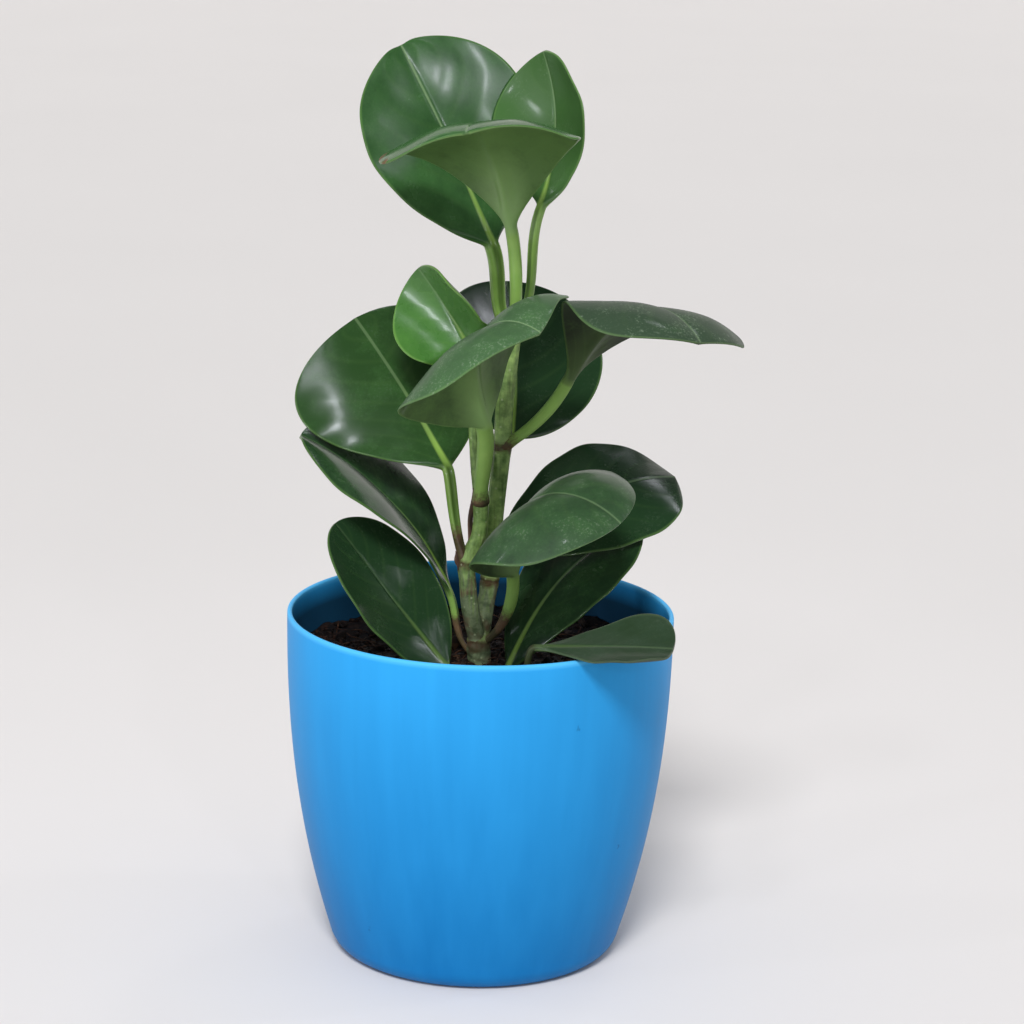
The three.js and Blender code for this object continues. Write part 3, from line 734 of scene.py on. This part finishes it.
def leaf_finish(name, dark, mid, under, margin, gloss):
    """A leaf's skin: clear wax over deep green. The wax gives a broad soft highlight; below it the green
    is mottled, with pale midrib, side veins and margin, and the lower face is paler and duller. Each leaf
    is also painted darker or lighter, above and below, as it lies in shade or in light."""
    made, tree = blank(name)
    place = add(tree, "TexCoord", out="Object")
    marks, sizes, tones, wear = (add(tree, "Attribute", attribute_name=field, out="Vector")
                                 for field in ("on_leaf", "leaf_sizes", "leaf_tones", "leaf_wear"))
    u, s, face = (add(tree, "SeparateXYZ", marks, out=axis) for axis in "XYZ")
    reach, edge, dry = (add(tree, "SeparateXYZ", sizes, out=axis) for axis in "XYZ")
    light, yellow, dust = (add(tree, "SeparateXYZ", tones, out=axis) for axis in "XYZ")
    rib_tip, foot_brown, rib_foot = (add(tree, "SeparateXYZ", wear, out=axis) for axis in "XYZ")
    size = add(tree, "Math", s, operation="ABSOLUTE")
    upper = add(tree, "MapRange", face, -0.4, 0.4)
    # Mottling of about 10 mm, and a fine grain, coarsened to 1.1 mm so that it shows.
    mottle = add(tree, "TexNoise", Vector=place, Scale=95, Detail=3, Roughness=0.6)
    fine = add(tree, "TexNoise", Vector=place, Scale=900, Detail=3, Roughness=0.7)
    # The leaf's light value is partly its own depth of green and partly painted light and shade, darker for a
    # leaf in shade. The mottling and grain add its own uneven tone.
    tone = light
    for pattern, sway in ((mottle, 0.25), (fine, 0.1)):
        uneven = add(tree, "MapRange", pattern, 0.3, 0.7, -sway, sway)
        tone = add(tree, "Math", uneven, tone, operation="ADD")
    pale = add(tree, "MapRange", tone, 0, 1)

    # The side veins slant from the midrib towards the tip, and fade out before the margin.
    vein = add(tree, "Math", size, VEIN_BEND, operation="POWER")
    vein = add(tree, "Math", vein, -VEIN_SLANT, u, operation="MULTIPLY_ADD")
    vein = add(tree, "Math", vein, SIDE_VEINS, operation="MULTIPLY")
    vein = add(tree, "Math", vein, 0.5, operation="PINGPONG")
    vein = add(tree, "MapRange", vein, 0.02, 0.16, 0.035, 0)
    vein = add(tree, "MapRange", size, 0.92, 0.5, 0, vein)
    above = dark
    for share, colour in ((pale, mid), (yellow, "#4d7a1e"), (vein, margin)):
        above = add(tree, "Mix", Factor_Float=share, A_Color=above, B_Color=colour, **COLOUR)

    # Under the leaf the keel of the midrib flares out pale towards the petiole. On a leaf that lies in shade
    # the underside and its flare are painted darker: painted shade.
    low_vein = add(tree, "Math", vein, 1.5, operation="MULTIPLY")
    flare = add(tree, "MapRange", u, 0, 0.5, 0.9, 0.135)
    flare = add(tree, "MapRange", reach, 11, 1, 0, flare)
    flare = add(tree, "Math", flare, add(tree, "MapRange", light, 0, 0.6, 0.3, 1), operation="MULTIPLY")
    below = "#1f2a17"
    for share, colour in ((pale, under), (low_vein, margin), (flare, "#8aad68")):
        below = add(tree, "Mix", Factor_Float=share, A_Color=below, B_Color=colour, **COLOUR)

    rim = add(tree, "MapRange", edge, 1.1, 0.3, 0, 0.3)
    rim = add(tree, "MapRange", u, -0.04, 0.03, 0, rim)
    rib_wide = add(tree, "MapRange", u, 0, 0.5, 1.6, 0.7)
    rib_narrow = add(tree, "Math", rib_wide, 0.4, operation="MULTIPLY")
    rib = add(tree, "MapRange", u, 0.1, 0.6, rib_foot, rib_tip)
    rib = add(tree, "MapRange", face, -0.4, 0.4, 0, rib)
    rib = add(tree, "MapRange", reach, rib_wide, rib_narrow, 0, rib)
    # The midrib is yellow-green near its foot and greyer towards the tip: partly its own colour and partly a
    # painted reflection of the sky on the wax.
    rib_tone_and_sheen = add(tree, "MapRange", u, 0.15, 0.6)
    rib_tone_and_sheen = add(tree, "Mix", Factor_Float=rib_tone_and_sheen, A_Color="#86a84a", B_Color="#7f9a6c", **COLOUR)

    # The petiole is bare of wax, yellow-green with a darker channel, and corky brown at its foot. One that
    # is brown all along has withered, and is darker still.
    channel = add(tree, "MapRange", size, 0.4, 0.15, 0, 0.7)
    channel = add(tree, "MapRange", face, -0.4, 0.4, 0, channel)
    corky = add(tree, "MapRange", mottle, 0.4, 0.6)
    withering = add(tree, "MapRange", foot_brown, 0.7, 1.1)
    brown = "#3c2723"
    for share, colour in ((corky, "#6a443c"), (withering, "#241e19")):
        brown = add(tree, "Mix", Factor_Float=share, A_Color=brown, B_Color=colour, **COLOUR)
    foot = add(tree, "Math", u, add(tree, "MapRange", fine, 0.3, 0.7, -0.05, 0.05), operation="ADD")
    foot = add(tree, "Math", foot, foot_brown, operation="SUBTRACT")
    foot = add(tree, "MapRange", foot, -0.93, -1.05, 0, 0.9)
    stalk = "#6c9441"
    for share, colour in ((mottle, "#95b85e"), (channel, "#3d5a22"), (foot, brown)):
        stalk = add(tree, "Mix", Factor_Float=share, A_Color=stalk, B_Color=colour, **COLOUR)
    on_stalk = add(tree, "MapRange", u, 0.03, -0.04)
    dried = add(tree, "MapRange", fine, 0.35, 0.5, 0.4, 1)
    dried = add(tree, "Math", dry, dried, operation="MULTIPLY")

    # Dust lies on the upper face as whitish specks under 0.5 mm, and as a thin film.
    specks = add(tree, "TexNoise", Vector=place, Scale=1100, Detail=4, Roughness=0.7)
    specks = add(tree, "MapRange", specks, 0.54, 0.64, 0, add(tree, "MapRange", mottle, 0.45, 0.6, 0.1, 1))
    dusted = add(tree, "MapRange", specks, 0, 1, 0.08, 0.5)
    dusted = add(tree, "MapRange", face, -0.4, 0.4, 0, dusted)
    dusted = add(tree, "Math", dusted, dust, operation="MULTIPLY")
    skin = below
    for share, colour in ((upper, above), (rim, margin), (rib, rib_tone_and_sheen), (on_stalk, stalk),
                          (dried, "#6b4a2f"), (dusted, "#94a48c")):
        skin = add(tree, "Mix", Factor_Float=share, A_Color=skin, B_Color=colour, **COLOUR)

    relief = add(tree, "Bump", out="Normal", Strength=0.2, Distance=0.04 * MM, Height=fine)
    dusty = add(tree, "Math", dust, 0.6, operation="MULTIPLY")
    dull = add(tree, "Math", dry, 0.5, operation="MULTIPLY")
    dull = add(tree, "Math", dusty, dull, operation="MAXIMUM")
    rough = add(tree, "MapRange", face, -0.4, 0.4, gloss + 0.16, gloss)
    for more in (dull, add(tree, "MapRange", mottle, 0.3, 0.7, -0.03, 0.05)):
        rough = add(tree, "Math", rough, more, operation="ADD")
    shader = add(tree, "BsdfPrincipled", Base_Color=skin, Roughness=rough, IOR=1.45, Normal=relief,
                 Coat_Weight=0.2, Coat_Roughness=0.12, Coat_IOR=1.4)
    add(tree, "OutputMaterial", Surface=shader)
    return made


MATURE = leaf_finish("waxy_leaf", "#0f271e", "#335b31", "#4f6d38", "#6b9148", 0.16)
YOUNG = leaf_finish("young_leaf", "#33622a", "#4e8038", "#4f7a34", "#82ac50", 0.2)
OLD = leaf_finish("old_leaf", "#17241d", "#2b3b33", "#364632", "#5c6d50", 0.42)

# Each leaf's light value is partly its own depth of green and partly painted light and shade: the leaves that
# lie in shade are given low values.
LEAVES = [
    # The crown: three leaves round the top joint.
    dict(
        node="leaf_crown_back", foot=(9, 4, 227), leaves=(-0.7, 0.6, 0.7), start=(1, 8, 258.98),
        heading=161, rise=66, roll=-46, length=78, width=66, droop=3, side=6, twist=-2,
        fold=9, cup=9, cup_tip=9, base=0.87, tip=0.62, stalk=2.8, notch=1, light=0.75, rib=0.6,
    ),
    dict(
        node="leaf_crown_right", foot=(10.1, 4.6, 227), leaves=(0.5, 0.25, 0.95), start=(18, -7, 275),
        heading=53, rise=58, roll=-2, length=56, width=51, droop=-45, side=8, twist=-22,
        fold=10, cup=21, cup_tip=20, base=0.97, tip=0.64, stalk=1.8, light=1.3, yellow=0.3, dust=0.4, rib=0.5,
    ),
    dict(
        node="leaf_crown_front", foot=(9, 4, 227), leaves=(0.1, -1, 0.7), start=(8, -5, 266),
        heading=-136, rise=75, roll=20, length=73, width=73, droop=97, curl=0.37, side=9, twist=20,
        fold=6, cup=11, cup_tip=-56, base=1.3, tip=0.48, stalk=2.3, light=0.95,
        dry=((0.72, -1, 5), (0.6, -1, 2.5), (0.84, -0.98, 2)),
    ),
    # Two leaves at the joint below it.
    dict(
        node="leaf_middle_back", foot=(6, 6, 187), leaves=(0.2, 1, 0.3), start=(9, 13, 188),
        heading=77, rise=54, roll=33, length=63, width=66, droop=10, side=17, twist=2,
        fold=10, cup=4, cup_tip=6, base=0.63, tip=0.55, light=-0.2,
    ),
    dict(
        node="leaf_middle_right", foot=(7, 3, 187), leaves=(1, -0.3, 0.7), start=(29.4, 12, 209.2),
        heading=-39, rise=61, roll=-26, length=88, width=71, droop=99, curl=0.26, side=4, twist=6,
        fold=7, cup=26, cup_tip=-58, base=1.4, tip=0.52, stalk=2.3, dust=0.9, light=-0.05, wave=0.05,
    ),
    # The left branch: two leaves at its joints and the youngest at its tip.
    dict(
        node="leaf_branch_left", foot=(-5.8, -8, 146), leaves=(-0.4, -0.1, 1), start=(-13, -8, 181),
        heading=129, rise=45, roll=-21, length=66, width=74, droop=-9, side=13, twist=3,
        fold=-6, cup=-12, cup_tip=-25, base=0.88, tip=0.44, ease=0.12, light=0.02, yellow=0.2, dust=0.1,
        foot_brown=0.3,
    ),
    dict(
        node="leaf_branch_front", foot=(-1, -8, 169), leaves=(0, -0.5, 1), start=(-0.5, -16, 199.3),
        heading=-113, rise=57, roll=65, length=74, width=80, droop=111, curl=0.78, side=18, twist=5,
        fold=15, cup=9, cup_tip=-85, base=0.95, tip=0.71, stalk=3, dust=0.9, light=0.75, rib=0.6, wave=0.05,
    ),
    dict(
        node="leaf_branch_young", foot=(-4, -4, 206), leaves=(0, 0, 1), start=(-4, -8, 222),
        heading=144, rise=53, roll=-79, length=37, width=45, droop=-16, side=-1, twist=-25,
        fold=9, cup=62, cup_tip=50, base=0.52, tip=0.57, stalk=1.7, slot="leaf_young", finish=YOUNG,
    ),
    # Low on the stem.
    dict(
        node="leaf_low_right", foot=(3, 2, 137), leaves=(1, 0.3, 0.5), start=(4, 5, 147),
        heading=9, rise=32, roll=42, length=76, width=53, droop=49, curl=0.65, twist=-13,
        fold=-5, cup=-1, cup_tip=4, base=1, tip=0.52, light=-0.2,
    ),
    dict(
        node="leaf_low_front", foot=(0, -4, 115), leaves=(1, -0.8, 0.7), start=(11, -13, 144),
        heading=-106, rise=62, roll=66, length=84, width=68, droop=125, curl=0.39, side=8, twist=-2,
        fold=9, cup=-3, cup_tip=-83, base=0.76, tip=0.48, stalk=2.3, slim=0.6, dust=0.5, light=0.35,
        wave=0.05, foot_brown=0.5,
    ),
    dict(
        node="leaf_low_left", foot=(-2, -3, 110), leaves=(-1, 0.1, 0.7), start=(-11.3, 1, 132.1),
        heading=178, rise=67, roll=-15, length=81, width=48, droop=39, side=13, twist=3,
        fold=19, cup_tip=-42, base=1.15, tip=0.58, stalk=1.5, slim=0.6, light=0.15, rib=0.2, foot_brown=0.65,
    ),
    # Out of the soil, beside the stem.
    dict(
        node="leaf_soil_left", foot=(-11, -18, 88), leaves=(0, 0, 1), start=(-12.2, -22, 111),
        heading=166, rise=50, roll=-32, length=65, width=43, droop=-2, side=2, twist=14,
        fold=3, cup=18, cup_tip=18, base=0.67, tip=0.49, stalk=1.9, light=-0.1, rib=0.1, rib_foot=0.3,
    ),
    dict(
        node="leaf_soil_right", foot=(10, -10, 88), leaves=(0, 0, 1), start=(11, -12, 108),
        heading=34, rise=69, roll=13, length=73, width=42, droop=51, curl=0.17, side=-22, twist=-10,
        fold=-1, cup=1, cup_tip=-7, base=0.93, tip=0.58, stalk=2.2, light=0.05,
    ),
    # The oldest, over the rim at the front right.
    dict(
        node="leaf_over_rim", foot=(17, -50, 90), leaves=(0, 0, 1), start=(19, -54.85, 129),
        heading=4, rise=1, roll=12, length=48, width=32, droop=-8, side=-21, twist=6,
        fold=-3, cup=-1, cup_tip=56, base=1.23, tip=0.4, ease=0.12, stalk=1.3, slot="leaf_old", finish=OLD,
        foot_brown=1.1, rib=0.15, rib_foot=0.12,
    ),
]

# The light value, partly painted light and shade, goes to the finish with the yellow and the dust.
SHADE_AND_TONES = ("light", "yellow", "dust")
WEAR = ("rib", "foot_brown", "rib_foot")
for number, spec in enumerate(LEAVES):
    leaf = {**LEAF_DEFAULTS, "slot": "leaf", "finish": MATURE, **spec}
    own = np.random.default_rng(100 + number)
    # Three swells of 25 to 50 mm over the blade, and two ripples of 15 to 25 mm along its margin.
    waves = [(own.uniform(-0.2, 0.2), own.uniform(0.12, 0.25), own.uniform(0, 6)) for _ in range(3)]
    waves += [(own.uniform(0.25, 0.42), 0, own.uniform(0, 6)) for _ in range(2)]
    points, faces, marks, sizes = leaf_skin(leaf, waves)
    skin = piece(leaf["node"] + "_skin", points, faces, leaf["finish"], leaf["slot"], leaf["node"])
    attribute(skin, "on_leaf", marks)
    attribute(skin, "leaf_sizes", sizes)
    attribute(skin, "leaf_tones", np.tile([leaf[key] for key in SHADE_AND_TONES], (len(points), 1)))
    attribute(skin, "leaf_wear", np.tile([leaf[key] for key in WEAR], (len(points), 1)))

# ---- studio ----
# A sheet of pale backdrop paper, flat all round the pot and curved up far behind it. A soft key from the
# upper left and a weak fill from the right light it, and small window-like panels shine on the wax.

FLOOR_REACH = 90000
SWEEP_START = 7000
SWEEP_RADIUS = 2000
SWEEP_HEIGHT = 8000
SWEEP_REACH = 9000


def paper():
    """Matt backdrop paper, an even pale grey with the least unevenness."""
    made, tree = blank("backdrop_paper")
    place = add(tree, "TexCoord", out="Object")
    # Clouds a third of a metre wide.
    cloud = add(tree, "TexNoise", Vector=place, Scale=3, Detail=2)
    tone = add(tree, "Mix", Factor_Float=cloud, A_Color="#dcd8d6", B_Color="#dfdbd9", **COLOUR)
    shader = add(tree, "BsdfPrincipled", Base_Color=tone, Roughness=0.9, Specular_IOR_Level=0.1)
    add(tree, "OutputMaterial", Surface=shader)
    return made


def backdrop():
    """The strip that curves up behind the pot, and the flat sheet."""
    profile = [(SWEEP_START, 0)]
    for turn in np.linspace(0.1, math.pi / 2, 16):
        rise = SWEEP_RADIUS - SWEEP_RADIUS * math.cos(turn)
        profile.append((SWEEP_START + SWEEP_RADIUS * math.sin(turn), rise))
    profile.append((SWEEP_START + SWEEP_RADIUS, SWEEP_HEIGHT))
    points = [(x, y, z) for y, z in profile for x in (-SWEEP_REACH, SWEEP_REACH)]
    faces = [[2 * i, 2 * i + 1, 2 * i + 3, 2 * i + 2] for i in range(len(profile) - 1)]
    faces.append(list(range(len(points), len(points) + 4)))
    points += [(FLOOR_REACH * x, FLOOR_REACH * y, 0) for x, y in ((-1, -1), (1, -1), (1, 1), (-1, 1))]
    mesh = bpy.data.meshes.new("backdrop")
    mesh.from_pydata((np.array(points) * MM).tolist(), [], faces)
    mesh.materials.append(paper())
    made = bpy.data.objects.new("backdrop", mesh)
    SCENE.collection.objects.link(made)


backdrop()

AIM = Vector((0, 0, 0.2))


def lamp(name, kind, azimuth, elevation, distance, power, mirrored=True, **shape):
    """A light aimed at the plant, from so many degrees right of the front and metres away. A light that is
    not `mirrored` has no highlight of its own, like one behind a large diffuser."""
    light = bpy.data.lights.new(name, kind)
    light.energy = power
    for key, value in shape.items():
        setattr(light, key, value)
    made = bpy.data.objects.new(name, light)
    a, e = math.radians(azimuth), math.radians(elevation)
    away = Vector((math.sin(a) * math.cos(e), -math.cos(a) * math.cos(e), math.sin(e)))
    made.location = AIM + away * distance
    made.rotation_euler = away.to_track_quat("Z", "Y").to_euler()
    made.visible_glossy = mirrored
    SCENE.collection.objects.link(made)


lamp("key_upper_left", "SUN", -6, 48, 3, 2.3, mirrored=False, angle=math.radians(14))
lamp("right_fill", "SUN", 70, 60, 3, 0.1, mirrored=False, angle=math.radians(60))

# Name, degrees right of the front, degrees up, metres away, watts, and width and height in metres.
PANELS = [
    ("window_front", 15, 21, 1.7, 0.125, 0.07, 0.1),
    ("window_upper_left", -20, 41, 1.6, 0.15, 0.1, 0.14),
    ("window_left", -66, 8, 1.5, 0.15, 0.06, 0.12),
    ("window_low_left", -36, 6, 1.3, 0.17, 0.12, 0.12),
    ("window_far_left", -98, 28, 1.5, 0.07, 0.1, 0.16),
    ("window_right", 97, 36, 1.5, 0.09, 0.12, 0.2),
    ("window_right_front", 73, 36, 1.5, 0.02, 0.1, 0.14),
    ("overhead_back", 147, 54, 1.5, 0.064, 0.2, 0.2),
]
for name, azimuth, elevation, distance, power, width, height in PANELS:
    lamp(name, "AREA", azimuth, elevation, distance, power, color=paint("#f4f5ff")[:3], shape="RECTANGLE",
         size=width, size_y=height, spread=math.radians(50))

# The room's even light. The wax doesn't mirror it, or the dark leaves would look grey.
world = bpy.data.worlds.new("studio_air")
world.use_nodes = True
world.node_tree.nodes["Background"].inputs["Color"].default_value = paint("#eef2f6")
world.node_tree.nodes["Background"].inputs["Strength"].default_value = 0.5
SCENE.world = world
world.cycles_visibility.glossy = False
SCENE.view_settings.view_transform = "Standard"

# The camera stands where the photo's was, as worked out from the pot's rim and underside.
camera = bpy.data.objects.new("camera", bpy.data.cameras.new("camera"))
camera.data.sensor_width = 36
camera.data.lens = 110.9
camera.data.clip_end = 50
camera.location = (0, -1.1, 0.4405)
tilt = Matrix.Rotation(-0.0095, 4, "Z") @ Matrix.Rotation(math.radians(75.86), 4, "X")
camera.rotation_euler = (tilt @ Matrix.Rotation(0.0238, 4, "Z")).to_euler()
SCENE.collection.objects.link(camera)
SCENE.camera = camera
